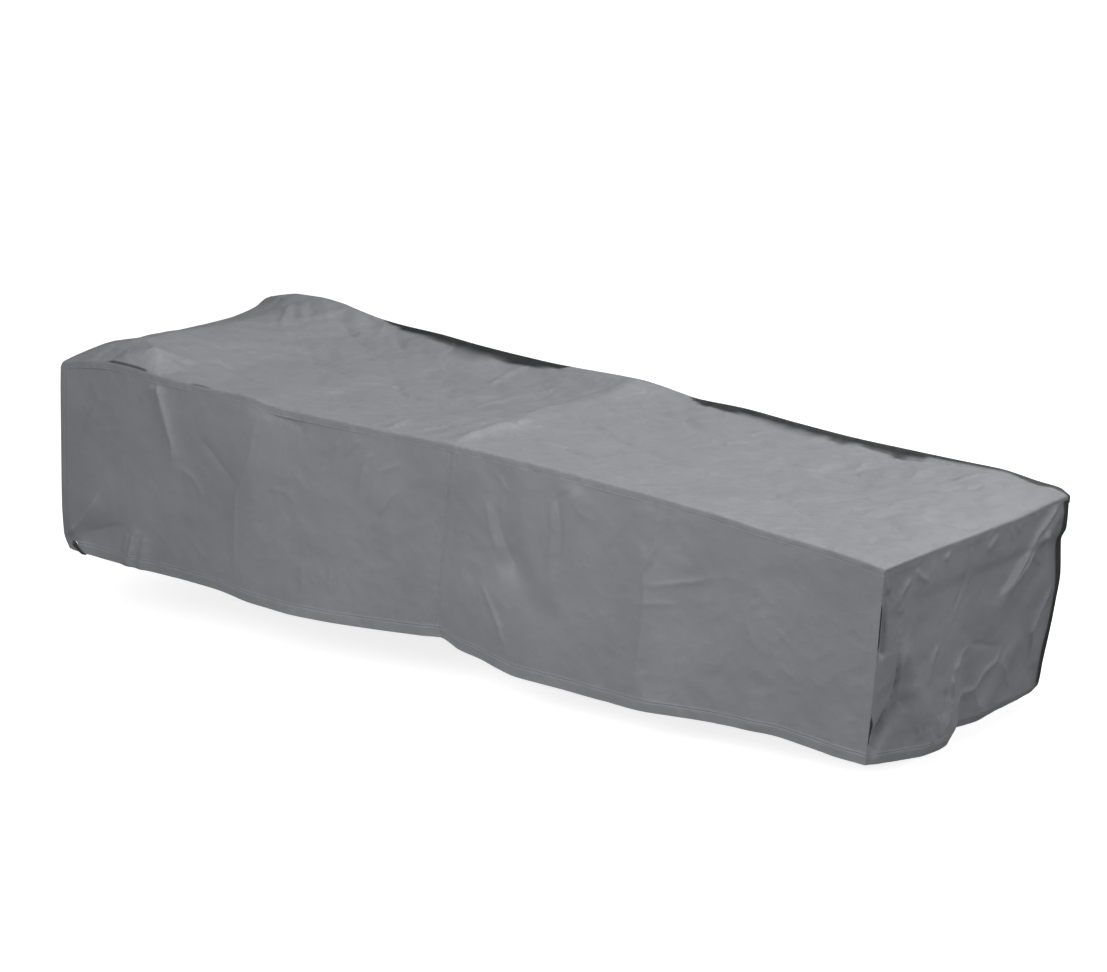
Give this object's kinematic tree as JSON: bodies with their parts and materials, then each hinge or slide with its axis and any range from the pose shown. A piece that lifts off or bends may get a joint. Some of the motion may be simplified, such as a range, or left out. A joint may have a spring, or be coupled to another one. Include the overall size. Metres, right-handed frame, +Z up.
{
  "type": "lounge chair cover",
  "caption": "Fitted weatherproof cloth cover for a low garden lounger, hanging hollow over it, with sewn panels, turned hems and a cord through eyelets at one corner.",
  "frame": {"origin": "the underside of the top cloth at mid length and mid width, over the middle ridge, which is the point that holds the cover up", "axes": "+X from the head end to the foot end, +Y from the front side to the back side, +Z up; the cover hangs down from the origin"},
  "size_m": [2.1458, 0.7508, 0.6154],
  "materials": {
    "slate_cloth": "coated plain-weave polyester, slate grey with a soft sheen",
    "nickel_steel": "nickel-plated, lightly polished",
    "black_elastic": "black braided elastic cord, matt"
  },
  "bodies": {
    "root": {"top_panel": "slate_cloth", "front_panel_head": "slate_cloth", "front_panel_foot": "slate_cloth", "back_panel_head": "slate_cloth", "back_panel_foot": "slate_cloth", "head_end_panel": "slate_cloth", "foot_end_panel": "slate_cloth", "eyelet_front": "nickel_steel", "eyelet_head": "nickel_steel", "corner_cord": "black_elastic"}
  },
  "joints": []
}
